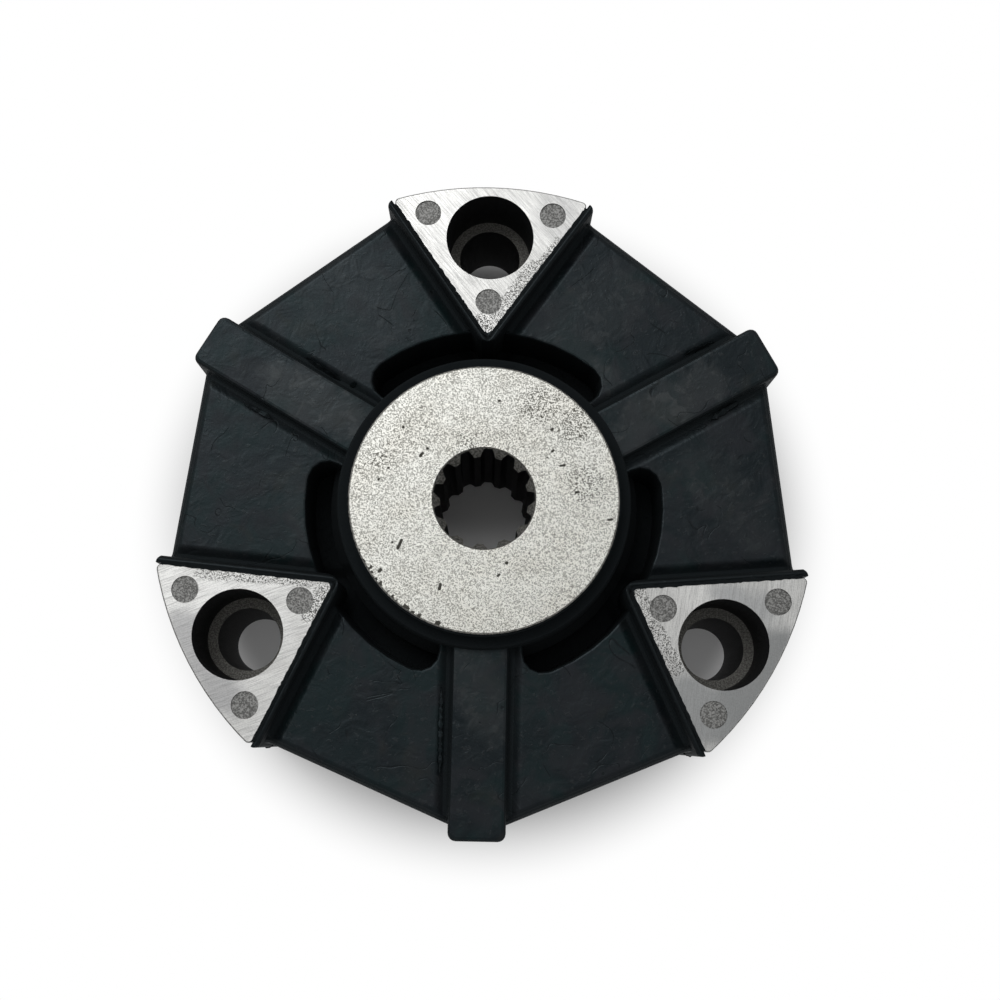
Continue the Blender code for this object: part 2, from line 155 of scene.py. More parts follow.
def both(tree, first, second):
    return calc(tree, "MULTIPLY", first, second)


def either(tree, first, second):
    return calc(tree, "MAXIMUM", first, second)


def tint(tree, mask, under, top):
    """Colour that goes from one to another where the mask says so."""
    made = node(tree, "Mix", data_type="RGBA")
    for slot, source in ((0, mask), (6, under), (7, top)):
        feed(tree, made.inputs[slot], source)
    return made.outputs[2]


def level(tree, mask, under, top):
    """The same for a number."""
    made = node(tree, "Mix", data_type="FLOAT")
    for slot, source in ((0, mask), (2, under), (3, top)):
        feed(tree, made.inputs[slot], source)
    return made.outputs[0]


def layered(tree, masks, colour, layers):
    """Colour under layers of (mask's name, share, colour), from the lowest to the topmost."""
    for name, share, layer in layers:
        colour = tint(tree, calc(tree, "MULTIPLY", masks[name], share), colour, layer)
    return colour


print("helpers for masks and blends are ready")

# %% [markdown]
# ## Light
# The photograph is a plain product shot in a pale room: a bright part of the ceiling up the sheet,
# grey everywhere else, and one soft lamp at the upper left. Metal and glossy rubber show what they
# reflect, so the ceiling matters more than the lamp. It makes the upper insert the brightest and
# leaves the lower right of the coupling darker. The world's strength is a smooth spot on a uniform
# grey, turned towards the ceiling's bright part.

# %% Room
ceiling = Vector((-0.18, 0.38, 1.0)).normalized()
ceiling_edge = 0.90                 # cosine of the angle at which the bright part has faded out
room_strength, ceiling_strength = 0.42, 1.22


def make_room():
    world = bpy.data.worlds.new("room")
    world.use_nodes = True
    tree = world.node_tree
    towards = node(tree, "VectorMath", operation="DOT_PRODUCT")
    feed(tree, towards.inputs[0], node(tree, "TexCoord").outputs["Generated"])
    feed(tree, towards.inputs[1], ceiling)
    background = tree.nodes["Background"]
    feed(tree, background.inputs["Color"], (1, 1, 1))
    feed(tree, background.inputs["Strength"],
         span(tree, towards.outputs["Value"], ceiling_edge, 1.0, room_strength, ceiling_strength))
    bpy.context.scene.world = world


make_room()
print("room", room_strength, "ceiling", ceiling_strength)

# %% Lamp
lamp_place = Vector((-0.35, 0.50, 0.75))
lamp_size = (0.6, 0.5)
lamp_power = 2.2


def make_lamp():
    """Area lamp that looks at the coupling's centre."""
    data = bpy.data.lights.new("soft_box", "AREA")
    data.shape = "RECTANGLE"
    data.size, data.size_y = lamp_size
    data.energy = lamp_power
    lamp = bpy.data.objects.new("soft_box", data)
    bpy.context.scene.collection.objects.link(lamp)
    lamp.location = lamp_place
    lamp.rotation_euler = (-lamp_place).to_track_quat("-Z", "Y").to_euler()
    return lamp


print("lamp:", make_lamp().name)
bpy.context.scene.view_settings.view_transform = "Standard"

# %% [markdown]
# ## Floor
# The floor is a large pale sheet. Close to the coupling it is shaded as it falls, so the shadow
# stays, and further out it turns into the clean white of the photograph's background. Only rays
# from the camera and from glossy surfaces see that white, so it throws no light on the object. A
# little of that white is also mixed into the shade as a painted glow, growing towards the camera,
# so the sheet seen through the bore and the bolt holes isn't quite black.

# %% Floor finish
sheet_colour = (0.86, 0.86, 0.86)
shadow_reach = (0.064, 0.090)       # distances from the axis between which the floor turns white
painted_glow_share = (0.008, 0.075)        # share of that white mixed into the shade, as a painted glow,
painted_glow_span = (0.003, -0.011)        # which grows down the sheet between these places


def finish_floor():
    material = new_material("pale_floor")
    tree = material.node_tree
    shader = tree.nodes["Principled BSDF"]
    feed(tree, shader.inputs["Base Color"], sheet_colour)
    shader.inputs["Roughness"].default_value = 0.9
    shader.inputs["Specular IOR Level"].default_value = 0.1
    place = node(tree, "TexCoord").outputs["Object"]
    parts = node(tree, "SeparateXYZ")
    feed(tree, parts.inputs[0], place)
    distance = node(tree, "VectorMath", operation="LENGTH")
    feed(tree, distance.inputs[0], place)
    faint = span(tree, parts.outputs["Y"], *painted_glow_span, *painted_glow_share)
    fade = span(tree, distance.outputs["Value"], *shadow_reach, faint)
    path = node(tree, "LightPath")
    seen = either(tree, path.outputs["Is Camera Ray"], path.outputs["Is Glossy Ray"])
    white = node(tree, "Emission")
    white.inputs["Strength"].default_value = 1.0
    mix = node(tree, "MixShader")
    for slot, source in ((0, both(tree, seen, fade)), (1, shader.outputs[0]),
                         (2, white.outputs[0])):
        feed(tree, mix.inputs[slot], source)
    feed(tree, tree.nodes["Material Output"].inputs["Surface"], mix.outputs[0])
    return material


floor_material = finish_floor()
print("floor finish:", floor_material.name)

# %% Floor
floor_size = 40.0


def make_floor():
    mesh = bmesh.new()
    bmesh.ops.create_grid(mesh, x_segments=1, y_segments=1, size=floor_size / 2)
    data = bpy.data.meshes.new("floor")
    mesh.to_mesh(data)
    mesh.free()
    data.materials.append(floor_material)
    floor = bpy.data.objects.new("floor", data)
    bpy.context.scene.collection.objects.link(floor)
    floor.location.z = cad_box[0][2]


make_floor()
print("floor", floor_size, "m wide")

# %% [markdown]
# ## Shared surface effects
# The same few effects come back on metal and rubber, at other sizes: grain, pits, the scratches of
# a sanding belt, patches with a ragged edge, and flow lines. Each is a node group, built once,
# with named inputs. Every size is given in metres, so a number can be compared with the real
# surface.

# %% A frame for effects
def effect(name, inputs):
    """Node group with the given inputs and one mask as its output."""
    group = bpy.data.node_groups.new(name, "ShaderNodeTree")
    for label, (kind, value) in inputs.items():
        socket = group.interface.new_socket(label, in_out="INPUT", socket_type="NodeSocket" + kind)
        if value is not None:
            socket.default_value = value
    group.interface.new_socket("Mask", in_out="OUTPUT", socket_type="NodeSocketFloat")
    given = group.nodes.new("NodeGroupInput").outputs
    return group, given, group.nodes.new("NodeGroupOutput").inputs


def use(tree, group, vector, **values):
    """Places an effect in a material and gives back its mask."""
    made = node(tree, "Group", node_tree=group)
    feed(tree, made.inputs["Vector"], vector)
    for name, value in values.items():
        feed(tree, made.inputs[name], value)
    return made.outputs["Mask"]


print("effects are ready to be built")

# %% [markdown]
# ### Grain
# Grain is a noise pattern with its middle greys pushed apart. A low limit gives a dense grain, a
# high one leaves only its darkest spots. It stands for cast skin, sand marks and fine porosity.

# %% Grain
def make_grain():
    group, given, result = effect("grain", {
        "Vector": ("Vector", None), "Size": ("Float", 1 * mm), "Warp": ("Float", 0.0),
        "Low": ("Float", 0.45), "High": ("Float", 0.65)})
    noise = node(group, "TexNoise")
    noise.inputs["Detail"].default_value = 2.5
    noise.inputs["Roughness"].default_value = 0.6
    feed(group, noise.inputs["Vector"], given["Vector"])
    feed(group, noise.inputs["Scale"], calc(group, "DIVIDE", 1.0, given["Size"]))
    feed(group, noise.inputs["Distortion"], given["Warp"])
    feed(group, result["Mask"], span(group, noise.outputs["Fac"], given["Low"], given["High"]))
    return group


grain = make_grain()
print("effect:", grain.name)

# %% [markdown]
# ### Pits
# Pits are single round spots. A cell pattern gives one point in each cell and a random number for
# it. Only a share of the cells gets a pit, and the random number also sets how large it is.

# %% Pits
def make_pits():
    group, given, result = effect("pits", {"Vector": ("Vector", None), "Spacing": ("Float", 4 * mm),
                                           "Radius": ("Float", 0.12), "Share": ("Float", 0.3)})
    cells = node(group, "TexVoronoi", feature="F1")
    feed(group, cells.inputs["Vector"], given["Vector"])
    feed(group, cells.inputs["Scale"], calc(group, "DIVIDE", 1.0, given["Spacing"]))
    chance = node(group, "SeparateColor")
    feed(group, chance.inputs[0], cells.outputs["Color"])
    chosen = calc(group, "LESS_THAN", chance.outputs[0], given["Share"])
    radius = calc(group, "MULTIPLY", given["Radius"], calc(group, "ADD", chance.outputs[1], 0.4))
    inside = span(group, cells.outputs["Distance"], radius, calc(group, "MULTIPLY", radius, 0.6))
    feed(group, result["Mask"], calc(group, "MULTIPLY", chosen, inside))
    return group


pits = make_pits()
print("effect:", pits.name)

# %% [markdown]
# ### Scratches
# A sanding belt leaves long thin scratches in one direction. Noise does this when its space is
# turned, and then squeezed across the scratches far more than along them.

# %% Scratches
def make_scratches():
    group, given, result = effect("scratches", {
        "Vector": ("Vector", None), "Turn": ("Float", 0.0), "Width": ("Float", 0.2 * mm),
        "Length": ("Float", 6 * mm), "Low": ("Float", 0.4), "High": ("Float", 0.7)})
    turned = node(group, "VectorRotate", rotation_type="Z_AXIS")
    feed(group, turned.inputs["Vector"], given["Vector"])
    feed(group, turned.inputs["Angle"], given["Turn"])
    parts = node(group, "SeparateXYZ")
    feed(group, parts.inputs[0], turned.outputs[0])
    squeezed = node(group, "CombineXYZ")
    feed(group, squeezed.inputs["X"], calc(group, "DIVIDE", parts.outputs["X"], given["Length"]))
    feed(group, squeezed.inputs["Y"], calc(group, "DIVIDE", parts.outputs["Y"], given["Width"]))
    feed(group, squeezed.inputs["Z"], calc(group, "DIVIDE", parts.outputs["Z"], given["Width"]))
    noise = node(group, "TexNoise")
    noise.inputs["Scale"].default_value = 1.0
    noise.inputs["Detail"].default_value = 3.0
    feed(group, noise.inputs["Vector"], squeezed.outputs[0])
    feed(group, result["Mask"], span(group, noise.outputs["Fac"], given["Low"], given["High"]))
    return group


scratches = make_scratches()
print("effect:", scratches.name)

# %% [markdown]
# ### Patches
# Wear, stains and coarse speckle sit in patches. A patch is the distance from a line between two
# places, made uneven by noise, so its border is ragged. Where both places are the same it is
# round. Its places are given in the frame's own axes.

# %% Patches
def make_patch():
    group, given, result = effect("patch", {
        "Vector": ("Vector", None), "Start": ("Vector", (0, 0, 0)), "End": ("Vector", (0, 0, 0)),
        "Reach": ("Float", 10 * mm), "Blur": ("Float", 3 * mm), "Ragged": ("Float", 3 * mm),
        "Size": ("Float", 3 * mm)})

    def vector(operation, first, second):
        made = node(group, "VectorMath", operation=operation)
        feed(group, made.inputs[0], first)
        feed(group, made.inputs[1], second)
        return made.outputs["Value" if operation in ("DOT_PRODUCT", "DISTANCE") else "Vector"]

    offset = vector("SUBTRACT", given["Vector"], given["Start"])
    line = vector("SUBTRACT", given["End"], given["Start"])
    square = calc(group, "MAXIMUM", vector("DOT_PRODUCT", line, line), mm * mm / 100)
    share = calc(group, "DIVIDE", vector("DOT_PRODUCT", offset, line), square)
    share = calc(group, "MINIMUM", calc(group, "MAXIMUM", share, 0.0), 1.0)
    nearest = node(group, "VectorMath", operation="SCALE")
    feed(group, nearest.inputs[0], line)
    feed(group, nearest.inputs["Scale"], share)
    away = vector("DISTANCE", offset, nearest.outputs[0])
    noise = node(group, "TexNoise")
    noise.inputs["Detail"].default_value = 4.0
    feed(group, noise.inputs["Vector"], given["Vector"])
    feed(group, noise.inputs["Scale"], calc(group, "DIVIDE", 1.0, given["Size"]))
    uneven = calc(group, "MULTIPLY", calc(group, "SUBTRACT", noise.outputs["Fac"], 0.5),
                  calc(group, "MULTIPLY", given["Ragged"], 4.0))
    edge = calc(group, "ADD", away, uneven)
    outer = calc(group, "ADD", given["Reach"], given["Blur"])
    feed(group, result["Mask"], span(group, edge, outer, given["Reach"]))
    return group


patch = make_patch()
print("effect:", patch.name)

# %% [markdown]
# ### Flow lines
# Where two fronts of soft rubber met in the mould, a fine wandering line stays in the skin. It is
# the contour line of a warped noise at its middle value, broken up by a second noise.

# %% Flow lines
def make_flow_lines():
    group, given, result = effect("flow_lines", {
        "Vector": ("Vector", None), "Size": ("Float", 9 * mm), "Width": ("Float", 0.01),
        "Low": ("Float", 0.5), "High": ("Float", 0.6)})
    noise = node(group, "TexNoise")
    noise.inputs["Detail"].default_value = 1.5
    noise.inputs["Distortion"].default_value = 1.2
    feed(group, noise.inputs["Vector"], given["Vector"])
    feed(group, noise.inputs["Scale"], calc(group, "DIVIDE", 1.0, given["Size"]))
    off = calc(group, "ABSOLUTE", calc(group, "SUBTRACT", noise.outputs["Fac"], 0.5))
    contour = span(group, off, given["Width"], 0.0)
    kept = node(group, "TexNoise")
    feed(group, kept.inputs["Vector"], given["Vector"])
    feed(group, kept.inputs["Scale"], calc(group, "DIVIDE", 1.6, given["Size"]))
    share = span(group, kept.outputs["Fac"], given["Low"], given["High"])
    feed(group, result["Mask"], calc(group, "MULTIPLY", contour, share))
    return group


flow_lines = make_flow_lines()
print("effect:", flow_lines.name)

# %% [markdown]
# ## Where a surface is
# One metal casting carries several finishes: the milled front, the sunk marks, the bolt seat, the
# walls. They are told apart by height and by which way the surface looks, so no face is painted by
# hand and the finishes follow the frame. Single marks have a place of their own on a face.

# %% Places on a surface
skin = 0.1 * mm                     # tolerance in height when a face is told from the next one


def places(tree):
    """Object coordinates, their height, the distance from the axis, and how far a face looks up."""
    position = node(tree, "TexCoord").outputs["Object"]
    parts = node(tree, "SeparateXYZ")
    feed(tree, parts.inputs[0], position)
    flat = node(tree, "CombineXYZ")
    feed(tree, flat.inputs["X"], parts.outputs["X"])
    feed(tree, flat.inputs["Y"], parts.outputs["Y"])
    distance = node(tree, "VectorMath", operation="LENGTH")
    feed(tree, distance.inputs[0], flat.outputs[0])
    facing = node(tree, "SeparateXYZ")
    feed(tree, facing.inputs[0], node(tree, "NewGeometry").outputs["Normal"])
    return position, parts.outputs["Z"], distance.outputs["Value"], facing.outputs["Z"]


def end_faces(tree, height, up, front_height, rear_height):
    """Mask of a casting's two flat ends."""
    front = both(tree, over(tree, height, front_height - skin), over(tree, up, 0.5))
    rear = both(tree, over(tree, -0.5, up), over(tree, rear_height + skin, height))
    return either(tree, front, rear)


def flat_place(x, y, height):
    return Vector((x * mm, y * mm, height))


print("a surface is told by its height, its distance from the axis and the way it looks")

# %% Relief and materials
def raised(tree, height, depth, under=None):
    """Normal with a relief: height is a mask, and depth is its height in metres."""
    bump = node(tree, "Bump")
    bump.inputs["Distance"].default_value = depth
    feed(tree, bump.inputs["Height"], height)
    if under is not None:
        feed(tree, bump.inputs["Normal"], under)
    return bump.outputs["Normal"]


def new_metal(name):
    """Material of bare metal, with its tree and its shader's inputs."""
    material = new_material(name)
    sockets = material.node_tree.nodes["Principled BSDF"].inputs
    sockets["Metallic"].default_value = 1.0
    return material, material.node_tree, sockets


def give(node_name, material):
    for slot in bpy.data.objects[node_name].material_slots:
        slot.material = material


print("materials can be made and given to the frame's nodes")

# %% [markdown]
# ## The hub's cast iron
# Both faces of the hub were milled after casting, which opened the iron's pores: a bright warm
# grey, densely peppered with dark specks, with larger pores here and there and faint marks of the
# cutter. The speckle itself can be any speckle. The scars, the dirtier places and the bites out of
# the rim catch the eye, so each was read off the photograph and gets a patch of its own.

# %% Marks on the hub
hub_rim_radius = max(vert.co.xy.length for vert in bpy.data.objects["splined_hub"].data.vertices
                     if vert.co.z > hub_face - skin)
# Scars on the front face, as (start x, y, end x, y, reach) in mm from the axis
hub_scars = [(-18.9, -11.7, -18.1, -9.9, 0.28), (-14.5, 9.3, -14.0, 9.9, 0.26),
             (-18.6, 15.8, -18.5, 15.8, 0.24), (-13.0, 11.0, -12.9, 11.0, 0.26),
             (5.3, -14.5, 5.4, -14.5, 0.30), (-9.4, -20.6, -9.2, -19.6, 0.28),
             (-22.8, -16.9, -22.5, -16.6, 0.30), (2.9, 22.4, 3.0, 22.4, 0.22),
             (14.9, 16.0, 15.1, 16.1, 0.26), (17.0, 7.7, 18.0, 7.9, 0.18),
             (15.1, 11.0, 15.3, 11.2, 0.24), (27.9, -4.3, 28.7, -4.2, 0.20),
             (20.5, 1.7, 21.1, 1.9, 0.20), (3.4, -17.4, 3.8, -17.1, 0.20),
             (-23.7, 3.7, -23.6, 3.8, 0.20), (-21.6, 6.4, -21.5, 6.4, 0.18)]
# Places where more of the pores are open, as (x, y, reach) in mm
hub_dirty = [(19.8, 17.0, 2.4), (12.0, 21.5, 2.6), (22.3, 3.3, 2.6), (-3.8, 12.4, 0.6),
             (-23.5, 8.8, 0.5)]
# Bites out of the rim, as angles in degrees
hub_rim_bites = [204, 209, 213, 215, 219, 221, 226, 229, 231, 236, 240, 243, 251]


def hub_scar_mask(tree, position):
    """Single pores, the scars, and the bites out of the rim."""
    scars = use(tree, pits, position, Spacing=3.4 * mm, Radius=0.09, Share=0.25)
    for x, y, end_x, end_y, reach in hub_scars:
        spot = use(tree, patch, position, Start=flat_place(x, y, hub_face),
                   End=flat_place(end_x, end_y, hub_face), Reach=reach * mm, Blur=0.12 * mm,
                   Ragged=0.07 * mm, Size=0.5 * mm)
        scars = either(tree, scars, spot)
    for turn in map(math.radians, hub_rim_bites):
        place = Vector((math.cos(turn) * hub_rim_radius, math.sin(turn) * hub_rim_radius, hub_face))
        bite = use(tree, patch, position, Start=place, End=place, Reach=0.30 * mm, Blur=0.2 * mm,
                   Ragged=0.9 * mm, Size=1.1 * mm)
        scars = either(tree, scars, bite)
    return scars


print("hub:", len(hub_scars), "scars and", len(hub_rim_bites), "bites; face radius",
      round(hub_rim_radius / mm, 2), "mm")

# %% Speckle of the hub
def hub_speck_mask(tree, position, cloud):
    """Fine and coarse open pores, denser in clouds and in the dirtier places."""
    pepper = use(tree, grain, position, Size=0.31 * mm, Low=0.50, High=0.59)
    coarse = use(tree, grain, position, Size=0.58 * mm, Warp=0.5, Low=0.55, High=0.65)
    dirty = 0.0
    for x, y, reach in hub_dirty:
        place = flat_place(x, y, hub_face)
        dirty = either(tree, dirty, use(tree, patch, position, Start=place, End=place,
                                        Reach=reach * mm, Blur=3 * mm, Ragged=1.2 * mm,
                                        Size=3 * mm))
    pepper_share = level(tree, dirty, 0.64, 0.90)
    coarse_share = level(tree, dirty, level(tree, cloud, 0.50, 0.85), 1.0)
    return either(tree, both(tree, pepper, pepper_share), both(tree, coarse, coarse_share))


print("hub speckle is ready")

# %% [markdown]
# ### The hub's two finishes
# The bore's chamfer and its teeth kept a dull granular casting skin; deeper in the bore, and on
# its steep faces, the colour is painted nearly black as shade. One material does the milled and the
# cast parts, because the two meet on one casting, and the masks of height and direction find the
# border.

# %% Hub finish
bare_iron, clouded_iron = (1.0, 1.0, 0.94), (0.96, 0.95, 0.88)
hub_layers = [("cutter", 0.22, (0.50, 0.49, 0.46)), ("specks", 1.0, (0.13, 0.125, 0.105)),
              ("scars", 0.95, (0.03, 0.028, 0.022))]
dark_skin, light_skin = (0.15, 0.15, 0.14), (0.44, 0.43, 0.40)
# Painted shade: deeper in the bore and on its steep faces the colour is nearly black.
painted_bore_shade = (0.004, 0.004, 0.005)
bore_mouth_depth = 3.2 * mm         # the casting skin shows down to here


def finish_hub():
    material, tree, sockets = new_metal("cast_iron")
    position, height, _, up = places(tree)
    milled = end_faces(tree, height, up, hub_face, hub_low.z)
    cloud = use(tree, grain, position, Size=9 * mm, Low=0.35, High=0.68)
    masks = {"cutter": use(tree, scratches, position, Turn=math.radians(22), Width=0.28 * mm,
                           Length=9 * mm, Low=0.46, High=0.66),
             "specks": hub_speck_mask(tree, position, cloud),
             "scars": hub_scar_mask(tree, position)}
    colour = layered(tree, masks, tint(tree, cloud, bare_iron, clouded_iron), hub_layers)
    skin_grain = use(tree, grain, position, Size=0.5 * mm, Low=0.35, High=0.65)
    mouth = both(tree, over(tree, height, hub_face - bore_mouth_depth), over(tree, up, 0.2))
    cast = tint(tree, mouth, painted_bore_shade, tint(tree, skin_grain, dark_skin, light_skin))
    feed(tree, sockets["Base Color"], tint(tree, milled, cast, colour))
    feed(tree, sockets["Roughness"],
         level(tree, milled, 0.62, level(tree, masks["specks"], 0.34, 0.60)))
    relief = calc(tree, "SUBTRACT", calc(tree, "MULTIPLY", masks["cutter"], 0.15),
                  either(tree, masks["specks"], masks["scars"]))
    relief = level(tree, milled, skin_grain, relief)
    feed(tree, sockets["Normal"], raised(tree, relief, 0.035 * mm))
    return material


give("splined_hub", finish_hub())
print("hub finished")

# %% [markdown]
# ## The inserts' aluminium
# Each insert was die cast and its front sanded on a belt, so the three faces are brighter and
# cooler than the hub, with fine scratches that run another way on each. Some casting skin is left
# in patches as black speckle, and some places near the edges are greyer. Both sit at the
# places that the photograph shows, given along each insert's own direction.

# %% Marks on the inserts
up_angle, left_angle, right_angle = (math.radians(angle) for angle in (90, 210, 330))


def around(angle, out, side):
    """Place on the inserts' faces: out along a direction from the axis, and to its left, in mm."""
    along = Vector((math.cos(angle), math.sin(angle), 0)) * mm
    return along * out + Vector((-along.y, along.x, 0)) * side + Vector((0, 0, insert_face))


def spots(angle, rows):
    """Spots from rows of (out, side, end out, end side, reach, value), in mm along an insert."""
    return [(around(angle, out, side), around(angle, end_out, end_side), reach * mm, value)
            for out, side, end_out, end_side, reach, value in rows]


print("places on the inserts are told along", [round(math.degrees(angle)) for angle in
                                               (up_angle, left_angle, right_angle)], "degrees")

# %% Sanded faces
clean_aluminium, grey_aluminium = (0.88, 0.88, 0.86), (0.76, 0.76, 0.74)
belt_layers = [("lines", 0.45, (0.30, 0.30, 0.30)), ("broad", 0.25, (0.36, 0.36, 0.36))]
everywhere_skin = 0.12              # share of casting skin that is left all over the sanded faces


def sanded_look(tree, position, belt, skins, greyer_spots):
    """Colour of a sanded face, with its scratches and its left-over skin. Skins are spots with a
    strength, and greyer places are spots with a colour."""
    masks = {"lines": use(tree, scratches, position, Turn=belt, Width=0.16 * mm, Length=5 * mm,
                          Low=0.42, High=0.68),
             "broad": use(tree, scratches, position, Turn=belt + math.radians(6),
                          Width=0.7 * mm, Length=14 * mm, Low=0.48, High=0.70)}
    cloud = use(tree, grain, position, Size=11 * mm, Low=0.35, High=0.65)
    pepper = use(tree, grain, position, Size=0.31 * mm, Low=0.48, High=0.58)
    colour = tint(tree, cloud, clean_aluminium, grey_aluminium)
    for start, end, reach, grey in greyer_spots:
        spot = use(tree, patch, position, Start=start, End=end, Reach=reach, Blur=5 * mm,
                   Ragged=1.2 * mm, Size=5 * mm)
        colour = tint(tree, spot, colour, grey)
    colour = layered(tree, masks, colour, belt_layers)
    left_skin = everywhere_skin
    for start, end, reach, strength in skins:
        spot = use(tree, patch, position, Start=start, End=end, Reach=reach, Blur=1.2 * mm,
                   Ragged=0.6 * mm, Size=1.8 * mm)
        left_skin = either(tree, left_skin, calc(tree, "MULTIPLY", spot, strength))
    specks = both(tree, pepper, left_skin)
    return tint(tree, specks, colour, (0.06, 0.06, 0.056)), masks["lines"], specks


print("sanded faces are ready")

# %% [markdown]
# ### The inserts' cast skin
# The three sunk marks, made by the mould's pins, and the bolt's seat kept their grey granular
# skin, and so did the outer arc. The deep walls of the holes are painted nearly black: partly their
# dark cast skin, partly painted shade. Where two of these masks overlap, the later tint covers the
# earlier one.

# %% Insert finish
mark_depth = 0.3 * mm
seat_below = 1 * mm                 # whatever looks up from deeper than this is the bolt's seat
arc_radius = outer_radius - 1 * mm  # anything further out belongs to an insert's outer arc
# Painted shade over the holes' dark cast skin: their deep walls are nearly black.
hole_skin_and_shade = (0.035, 0.036, 0.038)


def finish_insert(name, belt, skins, greyer_spots):
    material, tree, sockets = new_metal(name)
    position, height, distance, up = places(tree)
    sanded = end_faces(tree, height, up, insert_face, cad_box[0][2])
    looks_up = over(tree, up, 0.5)
    mark = both(tree, both(tree, over(tree, height, insert_face - mark_depth - skin), looks_up),
                over(tree, insert_face - skin, height))
    seat = both(tree, over(tree, insert_face - seat_below, height), looks_up)
    colour, lines, specks = sanded_look(tree, position, belt, skins, greyer_spots)

    coarse = use(tree, grain, position, Size=0.36 * mm, Low=0.40, High=0.62)
    arc_grey = tint(tree, coarse, (0.42, 0.42, 0.42), (0.60, 0.60, 0.60))
    seat_grey = tint(tree, coarse, (0.13, 0.128, 0.118), (0.26, 0.256, 0.238))
    mark_grey = tint(tree, coarse, (0.155, 0.155, 0.15), (0.40, 0.40, 0.39))
    cast = tint(tree, over(tree, distance, arc_radius), hole_skin_and_shade, arc_grey)
    cast = tint(tree, seat, cast, seat_grey)
    cast = tint(tree, mark, cast, mark_grey)
    feed(tree, sockets["Base Color"], tint(tree, sanded, cast, colour))
    feed(tree, sockets["Roughness"], level(tree, sanded, 0.62, level(tree, lines, 0.34, 0.44)))
    relief = calc(tree, "SUBTRACT", calc(tree, "MULTIPLY", lines, 0.35), specks)
    relief = level(tree, sanded, coarse, relief)
    feed(tree, sockets["Normal"], raised(tree, relief, 0.02 * mm))
    return material


give("bolt_insert_top", finish_insert(
    "sanded_aluminium_top", math.radians(48),
    spots(up_angle, [(62.0, -16.0, 55.0, -11.0, 0.5, 0.9), (55.0, -10.4, 47.0, -4.8, 1.5, 0.9),
                     (47.0, -3.6, 43.0, -1.5, 1.2, 0.85), (40.8, 0.0, 42.6, 1.2, 1.0, 1.0)]),
    spots(up_angle, [(66.0, -16.0, 71.0, -16.0, 2.0, (0.70, 0.70, 0.69))])))
give("bolt_insert_left", finish_insert(
    "sanded_aluminium_left", math.radians(-22),
    spots(left_angle, [(63.7, -16.4, 60.0, -13.6, 0.8, 0.8), (59.0, -12.9, 43.0, -2.4, 0.5, 0.9),
                       (40.9, 0.2, 46.5, 3.8, 1.1, 1.0)]),
    spots(left_angle, [(72.0, -6.0, 71.0, 10.0, 2.0, (0.52, 0.52, 0.52))])))
give("bolt_insert_right", finish_insert(
    "sanded_aluminium_right", math.radians(98),
    spots(right_angle, [(40.8, 0.2, 46.0, -3.2, 1.0, 0.9), (47.0, -4.4, 56.0, -10.4, 1.4, 0.9)]),
    spots(right_angle, [(74.0, 4.0, 71.0, -14.0, 4.0, (0.38, 0.39, 0.39)),
                        (66.0, -17.0, 62.0, -14.0, 3.0, (0.44, 0.45, 0.45)),
                        (57.4, 10.4, 66.0, 11.0, 0.8, (0.56, 0.57, 0.57))])))
print("inserts finished")

# %% [markdown]
# ## The rubber
# The body is moulded black rubber: satin, a little blue-green where the light catches it, and
# never even. Gloss comes from the shader and the lights; the nodes change how rough and how clean
# the skin is, and its colour also carries painted shade in the gutters, at the webs' outer edges,
# on the walls, in the moats and on the lips, and painted light in two broad patches on the upper
# webs. Much of it depends on the place, so the finish starts with the body's main lines: how far
# a place lies from a rib, from an insert's side and from the outer edge of its web.

# %% Lines of the rubber body
web_face = insert_face - 4.5 * mm   # front faces of the six webs
rib_face = insert_face - 2.0 * mm
moat_radius = 41.0 * mm
collar_radius = 33.5 * mm
rib_half_width = 6.4 * mm
insert_apex = 38.45 * mm            # where an insert's two sides would meet
insert_half_angle = math.radians(35)
lip_width = 2.2 * mm                # rubber beside an insert's side, with the joint
web_edge_normal = (0.7964, 0.6047)  # of a web's outer edge, along an insert's direction and aside
web_edge_reach = 69.1 * mm          # of that edge from the axis


def along_and_across(tree, position, angle):
    """Place of a surface along a direction from the axis, and how far it lies beside it."""
    found = []
    for turn in (angle, angle + math.pi / 2):
        made = node(tree, "VectorMath", operation="DOT_PRODUCT")
        feed(tree, made.inputs[0], position)
        made.inputs[1].default_value = (math.cos(turn), math.sin(turn), 0)
        found.append(made.outputs["Value"])
    return found[0], calc(tree, "ABSOLUTE", found[1])


def edge_distances(tree, position):
    """Distances of a place on the webs from the foot of the nearest rib, from the nearest insert's
    side, and from the outer edge. The last two are negative beyond that side or edge."""
    rib_foot = lip_side = rim = 1.0
    for angle in (up_angle, left_angle, right_angle):
        out, aside = along_and_across(tree, position, angle + math.pi)
        behind = calc(tree, "LESS_THAN", out, 0.0)
        foot = calc(tree, "ADD", calc(tree, "SUBTRACT", aside, rib_half_width), behind)
        rib_foot = calc(tree, "MINIMUM", rib_foot, foot)
        out, aside = along_and_across(tree, position, angle)
        beside = calc(tree, "SUBTRACT", calc(tree, "MULTIPLY", aside, math.cos(insert_half_angle)),
                      calc(tree, "MULTIPLY", calc(tree, "SUBTRACT", out, insert_apex),
                           math.sin(insert_half_angle)))
        beside = calc(tree, "ADD", beside, calc(tree, "LESS_THAN", out, 0.0))
        lip_side = calc(tree, "MINIMUM", lip_side, beside)
        reached = calc(tree, "ADD", calc(tree, "MULTIPLY", out, web_edge_normal[0]),
                       calc(tree, "MULTIPLY", aside, web_edge_normal[1]))
        rim = calc(tree, "MINIMUM", rim, calc(tree, "SUBTRACT", web_edge_reach, reached))
    return rib_foot, lip_side, rim


print("webs lie", round((insert_face - web_face) / mm, 1), "mm under the insert faces, ribs",
      round((insert_face - rib_face) / mm, 1), "mm")
